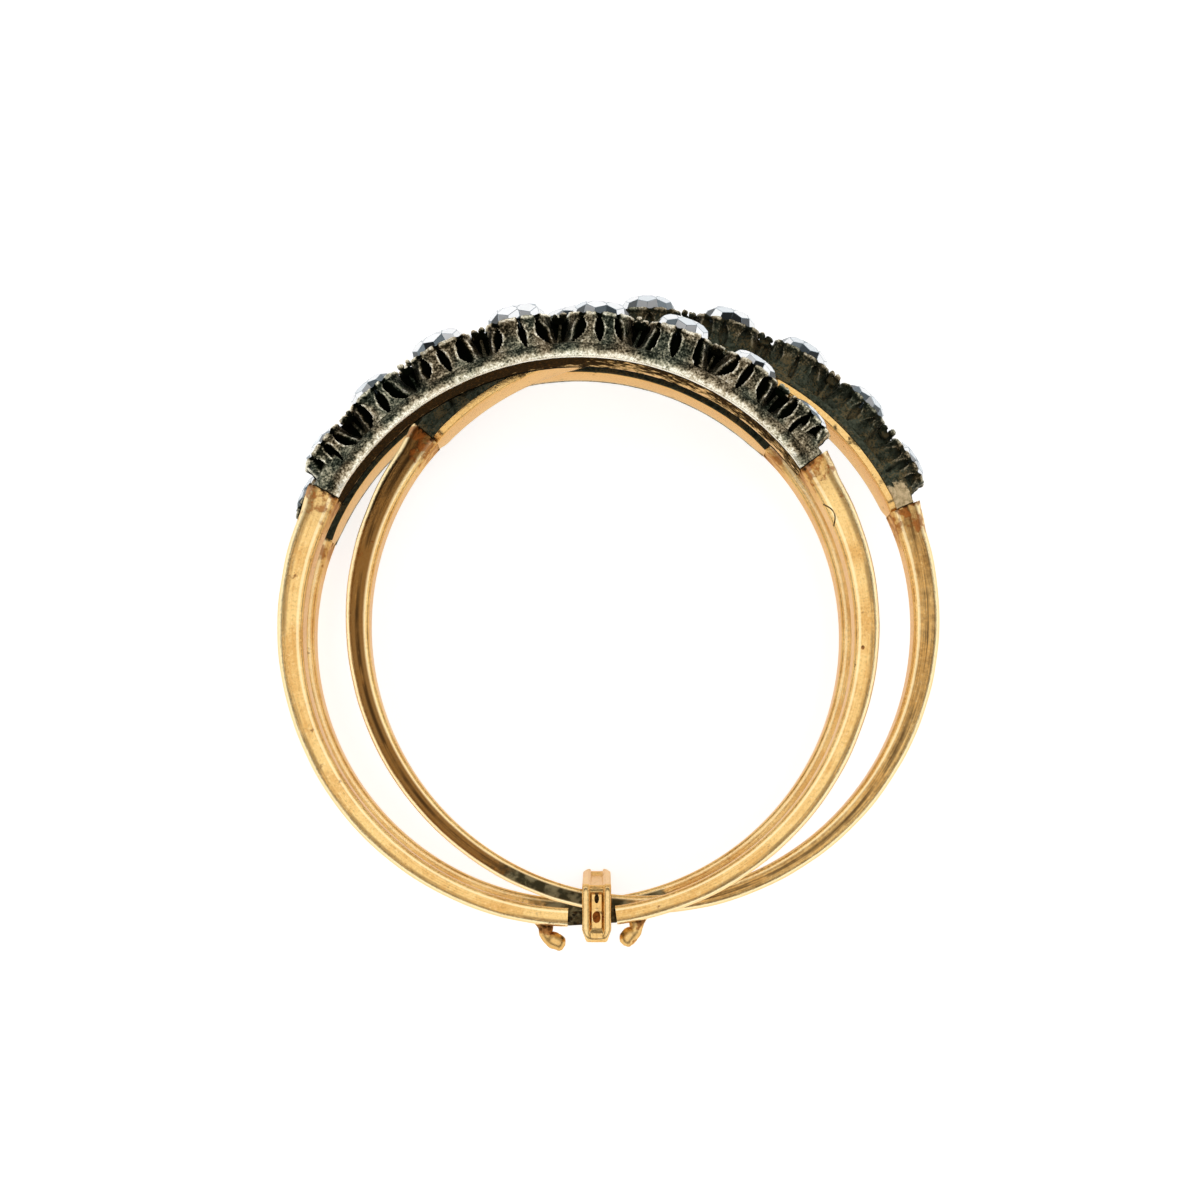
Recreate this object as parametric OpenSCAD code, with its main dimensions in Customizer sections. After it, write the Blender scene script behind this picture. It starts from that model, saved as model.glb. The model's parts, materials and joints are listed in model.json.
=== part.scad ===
// Three linked half-hoop rings, lying on their side.
// The finger hole's axis is Z, the heads with the stones point to +Y and the keeper link is at -Y.
// The origin is the centre of the back hoop's finger hole, on the surface that the ring lies on.

/* [Hoops] */
// Finger-hole radius of the front hoop
front_bore_r = 8.62; // [7.5:0.01:9.5]
// Finger-hole radius of the middle hoop
middle_bore_r = 8.72; // [7.5:0.01:9.5]
// Finger-hole radius of the back hoop
back_bore_r = 8.64; // [7.5:0.01:9.5]
// Thickness of a shank where the link holds it
foot_t = 0.57; // [0.5:0.01:0.65]
// Thickness of a shank halfway up its sides
side_t = 0.81; // [0.7:0.01:0.9]
// Width of a shank along the finger
shank_w = 1.3; // [1.1:0.05:1.4]
// Radius of a shank's rounded outer edges
shank_edge_r = 0.2; // [0.1:0.01:0.25]
// Bevel of a shank's inner edges
shank_bevel = 0.1; // [0.05:0.01:0.15]

/* [Heads] */
// Width of a head along the finger
head_w = 2.1; // [2:0.05:2.2]
// Width of the cheek that the silver has on each side of the lining
cheek_w = 0.2; // [0.15:0.01:0.25]
// Gap between two heads that lie on each other
head_gap = 0.1; // [0.05:0.01:0.2]
// Angle from the middle of a head to its end
head_half_angle = 57.5; // [57:0.5:61]
// Thickness of the gold lining under the silver
lining_t = 0.22; // [0.15:0.01:0.3]
// Height of the silver rail over the finger hole
rail_h = 0.48; // [0.4:0.01:0.6]
// Height of the web between the collets over the finger hole
web_h = 1.22; // [1:0.01:1.25]
// Width of the web along the finger
web_w = 0.6; // [0.5:0.05:1]
// Height of the solid end of a head over the finger hole, past its last collet
end_h = 0.98; // [0.8:0.01:1.1]
// Width of a head's solid end along the finger
end_w = 1.6; // [1.3:0.05:1.7]
// Height of the stones' girdles over the finger hole
girdle_h = 1.36; // [1.3:0.01:1.45]
// Clearance between a stone and its collet, and between silver and gold
piece_gap = 0.02; // [0.01:0.005:0.04]

/* [Collets and stones] */
// Width of the two middle collets
collet_w_mid = 2.04; // [1.9:0.01:2.1]
// Width of the two end collets
collet_w_end = 1.68; // [1.5:0.01:1.8]
// Open gap between two collets at the girdle
collet_gap = 0.6; // [0.5:0.01:0.7]
// A collet's width at its foot, as a share of its width at the top
collet_taper = 0.88; // [0.8:0.01:0.95]
// Thickness of a collet's wall at the girdle
collet_wall = 0.13; // [0.1:0.01:0.16]
// How far a collet's wall stands over the girdle
lip_h = 0.08; // [0.04:0.01:0.1]
// Height of a stone's crown, as a share of its radius
crown_share = 0.6; // [0.5:0.01:0.65]
// Radius of a stone's table, as a share of its radius
table_share = 0.55; // [0.4:0.01:0.6]
// Depth of a stone's pavilion, as a share of its radius
pavilion_share = 0.8; // [0.6:0.01:0.85]
// Length of a filed nick in a collet's side
nick_len = 0.86; // [0.6:0.01:0.86]
// Width of a filed nick
nick_w = 0.3; // [0.15:0.01:0.32]
// Depth of a filed nick
nick_d = 0.13; // [0.08:0.01:0.15]

/* [Keeper link] */
// Width of the link across the hoops' foot
link_w = 0.9; // [0.8:0.01:0.95]
// Thickness of the link's two long bars
bar_t = 0.31; // [0.25:0.01:0.35]
// Height of the opening at the front hoop
opening_h = 1.16; // [1.1:0.01:1.2]
// How much taller the opening is at the back hoop
opening_flare = 0.5; // [0.4:0.01:0.6]
// Thickness of the plate that closes the link at the back
back_plate_t = 0.28; // [0.2:0.01:0.3]
// Thickness of the plate that closes the link at the front
front_plate_t = 0.36; // [0.3:0.01:0.4]
// Clearance between the front hoop's neck and the front plate
front_clearance = 0.14; // [0.1:0.01:0.2]
// Radius of the link's outer corners
link_corner_r = 0.26; // [0.15:0.01:0.3]
// Width of the link's raised rims
rim_w = 0.15; // [0.1:0.01:0.2]
// Height of the link's raised rims
rim_h = 0.07; // [0.04:0.01:0.1]

/* [Front hoop's foot] */
// Distance from the link's middle to the shank's stop on the right
stop_right = 0.6; // [0.58:0.01:0.7]
// Distance from the link's middle to the shank's stop on the left
stop_left = 0.9; // [0.7:0.01:1]
// Thickness of the neck that runs through the link
neck_t = 0.42; // [0.35:0.01:0.45]
// Width of the neck along the finger
neck_w = 0.7; // [0.6:0.01:0.75]
// Radius of a lug's neck
lug_neck_r = 0.2; // [0.17:0.01:0.21]
// Radius of a lug's round end
lug_knob_r = 0.26; // [0.2:0.01:0.27]
// How far the lugs hang under the shank
lug_drop = 0.42; // [0.35:0.01:0.5]

/* [How the hoops lie] */
// Lean of the front hoop about the link, to the left
front_lean = 3.65; // [-10:0.05:14]
// Lean of the middle hoop about the link, to the left
middle_lean = -8.8; // [-14:0.1:14]
// Lean of the back hoop about the link, to the left
back_lean = 3.9; // [-6:0.1:6]
// How far the back hoop has slid round through the link, in degrees
back_slide = 8; // [-10:0.5:10]
// Offset of the front hoop's foot from the link's middle
front_seat = -0.12; // [-0.12:0.01:0.05]
// Offset of the middle hoop's foot from the link's middle
middle_seat = 0.35; // [0:0.01:0.35]
// Offset of the back hoop's foot from the link's middle
back_seat = 0.15; // [0:0.01:0.2]

/* [Hidden] */
STONES = 8;
$fn = 64;

// Room that a cutter reaches past what it cuts
over = 1;
// Overlap that joins two shapes of one solid
bite = 0.05;
// Angle of the gap between the silver's end and the gold shoulder
end_gap_angle = 0.2;

// Heights of the three hoops' middle planes
layer = head_w + head_gap;
back_z = head_w / 2;
middle_z = back_z + layer;
front_z = middle_z + layer;

// The outer circle's centre sits this far towards the head, so the shank is thin at the foot
outer_shift = side_t - foot_t;

// Distance from the link's middle to a hoop's centre
function reach(bore_r, seat) = bore_r + foot_t / 2 + seat;

// The link's middle, seen along the finger, from the back hoop's centre
back_reach = reach(back_bore_r, back_seat);
link_x = back_reach * sin(back_lean);
link_y = -back_reach * cos(back_lean);

// Width of collet i, counted from the left end of a head
function collet_w(i) =
    let (u = (i - (STONES - 1) / 2) / ((STONES - 1) / 2))
    collet_w_mid + (collet_w_end - collet_w_mid) * u * u;

// Angle between collets i and i + 1 at the girdle
function collet_step(i, bore_r) =
    ((collet_w(i) + collet_w(i + 1)) / 2 + collet_gap) / (bore_r + girdle_h) * 180 / PI;

// Angle of collet i from the middle of its head, positive to the left
function collet_angle(i, bore_r) =
    i == 0
        ? sum([for (k = [0 : STONES - 2]) collet_step(k, bore_r)]) / 2
        : collet_angle(i - 1, bore_r) - collet_step(i - 1, bore_r);

function sum(list, k = 0) = k == len(list) ? 0 : list[k] + sum(list, k + 1);

function stone_r(i) = collet_w(i) / 2 - collet_wall;

// Puts a hoop, drawn round its own centre with its head at +Y, where it lies
module place(bore_r, seat, lean, slide, z) {
    translate([link_x, link_y, z])
        rotate([0, 0, lean])
            translate([0, reach(bore_r, seat), 0])
                rotate([0, 0, slide])
                    children();
}

module place_front() {
    place(front_bore_r, front_seat, front_lean, 0, front_z) children();
}

module place_middle() {
    place(middle_bore_r, middle_seat, middle_lean, 0, middle_z) children();
}

module place_back() {
    place(back_bore_r, back_seat, back_lean, back_slide, back_z) children();
}

// A wedge from the hoop's axis, half_angle to each side of +Y, or of -Y
module wedge(half_angle, h, way = 1) {
    far = 14;
    linear_extrude(height = h, center = true)
        polygon([
            [0, 0],
            [far * sin(half_angle), way * far * cos(half_angle)],
            [far * sin(half_angle / 2), way * far * cos(half_angle / 2)],
            [0, way * far],
            [-far * sin(half_angle / 2), way * far * cos(half_angle / 2)],
            [-far * sin(half_angle), way * far * cos(half_angle)]
        ]);
}

// A disc of the shank's width with rounded outer edges
module rounded_disc(r, w, edge_r) {
    rotate_extrude() {
        translate([0, -w / 2]) square([r - edge_r, w]);
        translate([0, -w / 2 + edge_r]) square([r, w - 2 * edge_r]);
        translate([r - edge_r, w / 2 - edge_r]) circle(r = edge_r);
        translate([r - edge_r, -w / 2 + edge_r]) circle(r = edge_r);
    }
}

// The finger hole through a shank, with its edges bevelled
module shank_bore(bore_r) {
    rotate_extrude()
        polygon([
            [0, -shank_w / 2 - over],
            [bore_r + shank_bevel + over, -shank_w / 2 - over],
            [bore_r, -shank_w / 2 + shank_bevel],
            [bore_r, shank_w / 2 - shank_bevel],
            [bore_r + shank_bevel + over, shank_w / 2 + over],
            [0, shank_w / 2 + over]
        ]);
}

// The plain part of a hoop, from one end of the head round the foot to the other
module shank(bore_r) {
    difference() {
        translate([0, outer_shift, 0])
            rounded_disc(bore_r + side_t, shank_w, shank_edge_r);
        shank_bore(bore_r);
        wedge(head_half_angle, head_w + over);
    }
}

// The gold under the silver rail, let into the shank's two ends
module lining(bore_r, w) {
    lap_angle = 1.5;
    intersection() {
        difference() {
            cylinder(r = bore_r + lining_t, h = w, center = true);
            cylinder(r = bore_r, h = head_w + over, center = true);
        }
        wedge(head_half_angle + lap_angle, head_w + over);
    }
}

// The thicker gold at the two ends of a head, which the silver's end walls stand on
module shoulders(bore_r) {
    shoulder_angle = 4.5;
    shoulder_rise = 0.12;
    shoulder_w = shank_w + 2 * shoulder_rise;
    difference() {
        intersection() {
            translate([0, outer_shift, 0])
                rounded_disc(bore_r + side_t + shoulder_rise, shoulder_w, shank_edge_r);
            wedge(head_half_angle + shoulder_angle, head_w + over);
        }
        cylinder(r = bore_r, h = head_w + over, center = true);
        wedge(head_half_angle, head_w + 2 * over);
    }
}

// A round bar between two points of the hoop's middle plane, with round ends
module round_bar(a, b, r) {
    d = b - a;
    translate([a[0], a[1], 0])
        rotate([0, 0, atan2(d[1], d[0])])
            rotate([0, 90, 0])
                cylinder(r = r, h = norm(d), $fn = 32);
    for (p = [a, b])
        translate([p[0], p[1], 0]) sphere(r = r, $fn = 32);
}

// One lug: a neck under the shank, bent towards the link, with a thick round end that slants down
module lug(way, root_x, tip_x) {
    // The shank's underside climbs away from the foot along this arc
    under_r = front_bore_r + side_t;
    climb = under_r - sqrt(under_r * under_r - root_x * root_x);
    root = [way * root_x, climb + bite - foot_t / 2];
    bend = [way * (root_x - lug_neck_r / 2), -foot_t / 2 - lug_drop / 2];
    tip = [way * tip_x, -foot_t / 2 - lug_drop];
    round_bar(root, bend, lug_neck_r);
    round_bar((bend + tip) / 2, tip, lug_knob_r);
}

// The front hoop's foot: the gap that the link sits in, and the thin neck through it
module front_shank() {
    foot_y = -reach(front_bore_r, 0);
    right_root = 1.24;
    right_tip = 0.92;
    left_root = 1.64;
    left_tip = 1.28;
    difference() {
        shank(front_bore_r);
        translate([-stop_left, foot_y - over, -head_w / 2])
            cube([stop_left + stop_right, 2 * over, head_w]);
    }
    translate([-stop_left - bite, foot_y - neck_t / 2, -neck_w / 2])
        cube([stop_left + stop_right + 2 * bite, neck_t, neck_w]);
    translate([0, foot_y, 0]) {
        lug(1, right_root, right_tip);
        lug(-1, left_root, left_tip);
    }
}

module gold_hoop_front() {
    color("goldenrod")
        place_front() {
            front_shank();
            lining(front_bore_r, head_w - 2 * cheek_w);
            shoulders(front_bore_r);
        }
}

module gold_hoop_middle() {
    color("goldenrod")
        place_middle() {
            shank(middle_bore_r);
            lining(middle_bore_r, head_w);
            shoulders(middle_bore_r);
        }
}

module gold_hoop_back() {
    color("goldenrod")
        place_back() {
            shank(back_bore_r);
            lining(back_bore_r, head_w - 2 * cheek_w);
            shoulders(back_bore_r);
        }
}

// The silver rail: a band over the lining, with a cheek down each side of it where the lining is narrower
module rail(bore_r, lining_w) {
    difference() {
        intersection() {
            cylinder(r = bore_r + rail_h, h = head_w, center = true);
            wedge(head_half_angle - end_gap_angle, head_w + over);
        }
        cylinder(r = bore_r, h = head_w + over, center = true);
        cylinder(r = bore_r + lining_t + piece_gap, h = lining_w + 2 * piece_gap, center = true);
    }
}

// One lens-shaped nick, pointed at both ends, from the distance side_r outwards
module nick(side_r) {
    arc_r = (nick_len * nick_len + nick_w * nick_w) / (4 * nick_w);
    rotate([90, 0, 0])
        translate([0, 0, -side_r - over])
            linear_extrude(height = over)
                intersection() {
                    translate([arc_r - nick_w / 2, 0]) circle(r = arc_r);
                    translate([nick_w / 2 - arc_r, 0]) circle(r = arc_r);
                }
}

// The web that joins neighbouring collets, set well back from their sides
module web(bore_r) {
    difference() {
        intersection() {
            cylinder(r = bore_r + web_h, h = web_w, center = true);
            wedge(collet_angle(0, bore_r), head_w);
        }
        cylinder(r = bore_r + rail_h - bite, h = head_w + over, center = true);
    }
}

// The solid silver that closes a head past its last collet on both sides
module head_ends(bore_r) {
    difference() {
        intersection() {
            cylinder(r = bore_r + end_h, h = end_w, center = true);
            wedge(head_half_angle - end_gap_angle, head_w);
        }
        wedge(collet_angle(0, bore_r), head_w + over);
        cylinder(r = bore_r + rail_h - bite, h = head_w + over, center = true);
    }
}

// Height of a collet's foot, which is sunk a little into the rail
collet_foot = rail_h - bite;

// Collet i before it is drilled and filed: its axis is Z, its foot is in the rail
module collet(i) {
    top_r = collet_w(i) / 2;
    translate([0, 0, collet_foot])
        cylinder(r1 = top_r * collet_taper, r2 = top_r, h = girdle_h + lip_h - collet_foot);
}

// The seat for stone i, which follows the stone's pavilion
module seat(i) {
    seat_r = stone_r(i) + piece_gap;
    seat_depth = stone_r(i) * pavilion_share + 2 * piece_gap;
    culet_r = 0.1;
    translate([0, 0, girdle_h - seat_depth]) cylinder(r1 = culet_r, r2 = seat_r, h = seat_depth);
    translate([0, 0, girdle_h]) cylinder(r = seat_r, h = over);
}

// The nicks of collet i: three on each side, filed in towards the collet's axis
module nicks(i) {
    fan = 40;
    sole = 0.04;
    nick_z = collet_foot + sole + nick_len / 2;
    side_r = collet_w(i) / 2 * (1 + collet_taper) / 2;
    for (side = [0, 180], a = [-fan, 0, fan])
        rotate([0, 0, side + a])
            translate([0, 0, nick_z]) nick(side_r - nick_d);
}

// Turns the collet's or stone's own frame so that its axis points outwards at its place in the head
module at_collet(i, bore_r) {
    rotate([0, 0, collet_angle(i, bore_r)])
        translate([0, bore_r, 0])
            rotate([-90, 0, 0])
                children();
}

module silver_setting(bore_r, lining_w) {
    difference() {
        union() {
            rail(bore_r, lining_w);
            web(bore_r);
            head_ends(bore_r);
            for (i = [0 : STONES - 1])
                at_collet(i, bore_r) collet(i);
        }
        for (i = [0 : STONES - 1])
            at_collet(i, bore_r) {
                seat(i);
                nicks(i);
            }
    }
}

module silver_setting_front() {
    color("silver") place_front() silver_setting(front_bore_r, head_w - 2 * cheek_w);
}

module silver_setting_middle() {
    color("slategray") place_middle() silver_setting(middle_bore_r, head_w + over);
}

module silver_setting_back() {
    color("slategray") place_back() silver_setting(back_bore_r, head_w - 2 * cheek_w);
}

// An old-cut stone: an eight-sided table, a high crown on a sixteen-sided girdle, and a pointed pavilion
module stone(r) {
    n = 16;
    girdle_t = 0.03;
    table_pts = [for (k = [0 : n / 2 - 1])
        let (a = 360 * k / (n / 2)) [r * table_share * cos(a), r * table_share * sin(a), r * crown_share]];
    upper_pts = [for (k = [0 : n - 1]) let (a = 360 * k / n) [r * cos(a), r * sin(a), girdle_t]];
    lower_pts = [for (p = upper_pts) [p[0], p[1], 0]];
    culet = [0, 0, -r * pavilion_share];
    t = n / 2;
    polyhedron(
        points = concat(table_pts, upper_pts, lower_pts, [culet]),
        faces = concat(
            [[for (k = [n / 2 - 1 : -1 : 0]) k]],
            [for (k = [0 : n / 2 - 1]) [k, (k + 1) % t, t + 2 * k + 1]],
            [for (k = [0 : n / 2 - 1]) [k, t + 2 * k + 1, t + 2 * k]],
            [for (k = [0 : n / 2 - 1]) [k, t + 2 * k, t + (2 * k + n - 1) % n]],
            [for (k = [0 : n - 1]) [t + k, t + (k + 1) % n, t + n + (k + 1) % n]],
            [for (k = [0 : n - 1]) [t + k, t + n + (k + 1) % n, t + n + k]],
            [for (k = [0 : n - 1]) [t + n + k, t + n + (k + 1) % n, t + 2 * n]]
        )
    );
}

// Stone i of a head, counted from its left end
module set_stone(i, bore_r) {
    at_collet(i, bore_r)
        translate([0, 0, girdle_h]) stone(stone_r(i));
}

module stone_front(i) {
    color("whitesmoke") place_front() set_stone(i, front_bore_r);
}

module stone_middle(i) {
    color("whitesmoke") place_middle() set_stone(i, middle_bore_r);
}

module stone_back(i) {
    color("whitesmoke") place_back() set_stone(i, back_bore_r);
}

// Top of the link, a little proud of the front shank's face
link_top = front_z + neck_w / 2 + front_clearance + front_plate_t;

// The link's outline seen along X, as points in Y and Z, taller at the back and with rounded corners
function link_outline(inset, z_lo, z_hi, corner_r) =
    let (
        flare = opening_flare / (link_top - back_plate_t),
        lo = -opening_h / 2 - bar_t + inset,
        hi_front = opening_h / 2 + bar_t - inset,
        hi = function (z) hi_front + (link_top - z) * flare,
        steps = 4,
        corner = function (y, z, a0) [for (k = [0 : steps])
            let (a = a0 + 90 * k / steps) [y + corner_r * cos(a), z + corner_r * sin(a)]]
    )
    concat(
        corner(hi(z_hi) - corner_r, z_hi - corner_r, 0),
        corner(lo + corner_r, z_hi - corner_r, 90),
        corner(lo + corner_r, z_lo + corner_r, 180),
        corner(hi(z_lo) - corner_r, z_lo + corner_r, 270)
    );

// A slice of the link between two X values, its outside lowered by inset
module link_loop(x0, x1, inset) {
    slot_corner_r = 0.1;
    translate([x0, 0, 0])
        rotate([90, 0, 90])
            linear_extrude(height = x1 - x0)
                difference() {
                    polygon(link_outline(inset, inset, link_top - inset, link_corner_r - inset));
                    polygon(link_outline(bar_t, back_plate_t, link_top - front_plate_t, slot_corner_r));
                }
}

module keeper_link() {
    half_w = link_w / 2;
    // The sunk field of the front plate
    field_w = 0.34;
    field_lo = -0.56;
    field_hi = 0.64;
    field_d = 0.1;
    // The small hole in the field, and the rivet's head below it
    hole_y = 0.45;
    hole_r = 0.09;
    rivet_y = -0.12;
    rivet_r = 0.14;
    rivet_sink = 0.04;
    plate_foot = link_top - front_plate_t;
    color("goldenrod")
        translate([link_x, link_y, 0]) {
            difference() {
                union() {
                    link_loop(-half_w, half_w, rim_h);
                    link_loop(-half_w, -half_w + rim_w, 0);
                    link_loop(half_w - rim_w, half_w, 0);
                }
                translate([-field_w / 2, field_lo, link_top - rim_h - field_d])
                    cube([field_w, field_hi - field_lo, over]);
                translate([0, hole_y, plate_foot - over])
                    cylinder(r = hole_r, h = 2 * over + front_plate_t, $fn = 32);
            }
            translate([0, rivet_y, plate_foot + front_plate_t / 2 - bite])
                cylinder(r = rivet_r, h = front_plate_t / 2 + bite - rivet_sink, $fn = 32);
        }
}

gold_hoop_front();
gold_hoop_middle();
gold_hoop_back();
silver_setting_front();
silver_setting_middle();
silver_setting_back();
keeper_link();
for (i = [0 : STONES - 1]) {
    stone_front(i);
    stone_middle(i);
    stone_back(i);
}
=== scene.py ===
import json
import math
import random

import bmesh
import bpy
from mathutils import Matrix, Vector, noise


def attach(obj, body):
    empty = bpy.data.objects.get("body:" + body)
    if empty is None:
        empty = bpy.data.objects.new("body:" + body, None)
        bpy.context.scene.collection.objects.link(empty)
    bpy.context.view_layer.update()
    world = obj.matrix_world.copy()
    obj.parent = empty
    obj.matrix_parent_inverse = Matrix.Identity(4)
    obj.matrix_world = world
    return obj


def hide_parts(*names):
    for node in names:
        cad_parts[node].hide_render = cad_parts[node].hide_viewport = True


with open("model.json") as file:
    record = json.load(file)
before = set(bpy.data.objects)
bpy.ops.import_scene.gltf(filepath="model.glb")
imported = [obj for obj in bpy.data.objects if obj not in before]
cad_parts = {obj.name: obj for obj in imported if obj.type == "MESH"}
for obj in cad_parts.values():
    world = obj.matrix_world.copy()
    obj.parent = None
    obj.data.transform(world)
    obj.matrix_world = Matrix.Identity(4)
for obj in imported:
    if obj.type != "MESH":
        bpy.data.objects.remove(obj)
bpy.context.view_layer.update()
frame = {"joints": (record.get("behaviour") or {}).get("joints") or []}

# Gold hoops: three slim hoops of rosy gold, forged and filed thinner towards the foot. Each is soldered to a
# thin gold lining that carries its silver head. Edges are worn pale and carry painted highlights, old grime
# sits in the corners, and painted shade darkens the middle hoop's face, the front lining and the feet behind
# the front foot.
MM = 0.001
link_x, link_y = (v / MM for v in frame["joints"][0]["pos_m"][:2])
foot_t = 0.57
side_t = 0.81
shank_w = 1.3
lining_t = 0.22
inner_edge_r = 0.12
outer_edge_r = 0.28
head_w = 2.1
cheek_w = 0.2
between_cheeks = head_w - 2 * cheek_w
let_in_half_w = 0.68
head_half = math.radians(57.5)
lining_half = math.radians(59)
shoulder_half = math.radians(6)
shoulder_rise = 0.12
hoops = {
    "front": {"bore": 8.62, "seat": -0.12, "lean": 3.65, "slide": 0, "z": 5.45, "lining_w": between_cheeks},
    "middle": {"bore": 8.72, "seat": 0.35, "lean": -8.8, "slide": 0, "z": 3.25, "lining_w": head_w},
    "back": {"bore": 8.64, "seat": 0.15, "lean": 3.9, "slide": 8, "z": 1.05, "lining_w": between_cheeks},
}


def hoop_place(hoop):
    """Where a hoop lies: it hangs from the link at its foot, leans about it, and is slid round through it."""
    reach = hoop["bore"] + foot_t / 2 + hoop["seat"]
    return (
        Matrix.Scale(MM, 4)
        @ Matrix.Translation((link_x, link_y, hoop["z"]))
        @ Matrix.Rotation(math.radians(hoop["lean"]), 4, "Z")
        @ Matrix.Translation((0, reach, 0))
        @ Matrix.Rotation(math.radians(hoop["slide"]), 4, "Z")
    )


def smooth(low, high, value):
    """Goes smoothly from 0 at low to 1 at high, whichever is the greater."""
    t = min(1, max(0, (value - low) / (high - low)))
    return t * t * (3 - 2 * t)


def lumps(point, size, depth):
    """A small push in or out, the same at the same place on each run."""
    return depth * noise.noise(Vector(point) / size)


def angle_of(co):
    """Angle round the hole from the middle of the head, positive to the left."""
    return math.atan2(-co.x, co.y)


def radius_of(co):
    return math.hypot(co.x, co.y)


def set_radius(co, radius):
    """Moves a point out or in along its radius."""
    share = radius / radius_of(co)
    co.x *= share
    co.y *= share


def sweep(corners, start, end, steps, cuts=3):
    """A bar bent round the finger hole, whose section has the given corners (radius, height, rounding)."""
    bm = bmesh.new()
    verts = [bm.verts.new((0, r, z)) for r, z, rounding in corners]
    bm.faces.new(verts)
    for vert, (r, z, rounding) in zip(verts, corners):
        if rounding:
            bmesh.ops.bevel(bm, geom=[vert], offset=rounding, offset_type="OFFSET", affect="VERTICES",
                            segments=5, profile=0.5, material=-1)
    bmesh.ops.delete(bm, geom=bm.faces[:], context="FACES_ONLY")
    long_edges = [e for e in bm.edges if e.calc_length() > 0.3]
    bmesh.ops.subdivide_edges(bm, edges=long_edges, cuts=cuts)
    bmesh.ops.rotate(bm, verts=bm.verts[:], cent=(0, 0, 0), matrix=Matrix.Rotation(start, 3, "Z"))
    bmesh.ops.spin(bm, geom=bm.verts[:] + bm.edges[:], cent=(0, 0, 0), axis=(0, 0, 1),
                   angle=end - start, steps=steps, use_merge=False)
    bmesh.ops.holes_fill(bm, edges=[e for e in bm.edges if e.is_boundary], sides=0)
    return bm


def mark(bm, name, rule):
    """Gives each point of a part a number for its finish, such as how much grime sits there."""
    layer = bm.verts.layers.float.get(name) or bm.verts.layers.float.new(name)
    for v in bm.verts:
        v[layer] = rule(v.co)


def add_to(bm, part):
    """Joins a part to a piece."""
    mesh = bpy.data.meshes.new("part")
    part.to_mesh(mesh)
    part.free()
    bm.from_mesh(mesh)
    bpy.data.meshes.remove(mesh)


def outer_radius(hoop, angle):
    """The outside of the shank is a circle whose centre is nearer the head than the hole's."""
    shift = side_t - foot_t
    return shift * math.cos(angle) + math.sqrt((hoop["bore"] + side_t) ** 2 - (shift * math.sin(angle)) ** 2)


def shank(hoop, start, end, foot_tarnish_and_shade):
    """A stretch of plain shank between two angles, thicker and wider where it meets the head."""
    bore = hoop["bore"]
    half_w = shank_w / 2
    degrees_a_step = 1.2
    steps = round(math.degrees(end - start) / degrees_a_step)
    section = [(bore, -half_w, inner_edge_r), (bore + 1, -half_w, outer_edge_r),
               (bore + 1, half_w, outer_edge_r), (bore, half_w, inner_edge_r)]
    bm = sweep(section, start, end, steps, cuts=5)
    lay = bm.verts.layers.float_vector.new("lay")
    tarnish = bm.verts.layers.float.new("tarnish")
    for v in bm.verts:
        angle = angle_of(v.co)
        from_foot = (math.pi - abs(angle)) * bore
        share = radius_of(v.co) - bore
        shoulder = smooth(shoulder_half, 0, abs(angle) - head_half)
        thick = outer_radius(hoop, angle) - bore + shoulder_rise * shoulder
        v[lay] = (math.copysign(from_foot, angle), share, v.co.z)
        # Green tarnish towards the foot, which also paints the shade on the feet behind the front foot.
        v[tarnish] = foot_tarnish_and_shade * (smooth(5.5, 1, from_foot) if angle > 0 else smooth(1.6, 0.4, from_foot))
        v.co.z *= 1 + 2 * shoulder_rise / shank_w * shoulder
        uneven = lumps(v.co, 1.1, 0.015) + lumps(v.co, 0.35, 0.06) * shoulder
        set_radius(v.co, bore + share * (thick + uneven))
    mark(bm, "grime", lambda co: 0.35 * smooth(0.25, 0, (abs(angle_of(co)) - head_half) * bore))
    mark(bm, "solder", lambda co: smooth(1.6, 0.1, (abs(angle_of(co)) - head_half) * bore))
    return bm


def lining(hoop, shaded_left, shaded_right):
    """The thin gold strip under the silver, narrowed at both ends where it is let into the shank."""
    bore = hoop["bore"]
    half_w = hoop["lining_w"] / 2
    top = bore + lining_t
    section = [(bore, -half_w, 0.05), (top, -half_w, 0), (top, half_w, 0), (bore, half_w, 0.05)]
    bm = sweep(section, -lining_half, lining_half, steps=122, cuts=5)
    lay = bm.verts.layers.float_vector.new("lay")
    narrow = math.radians(2.2)
    for v in bm.verts:
        v[lay] = (angle_of(v.co) * bore, 0.82 - 0.05 * v.co.z, 0)
        into_shank = smooth(head_half - narrow, head_half, abs(angle_of(v.co)))
        v.co.z *= 1 + into_shank * (let_in_half_w / half_w - 1)
        set_radius(v.co, radius_of(v.co) + 0.02 * into_shank)

    # Painted shade: the front lining is darkened nearly black, most on its left and its front half, for the
    # shade under the front rail; every lining also gets a little grime along both edges.
    def shade_and_soil(co):
        here = shaded_right + (shaded_left - shaded_right) * smooth(-0.2, 0.1, angle_of(co))
        return here * smooth(-1.3, -0.1, co.z) + 0.12 * smooth(0.2, 0.02, half_w - abs(co.z))

    mark(bm, "grime", shade_and_soil)
    return bm


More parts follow.
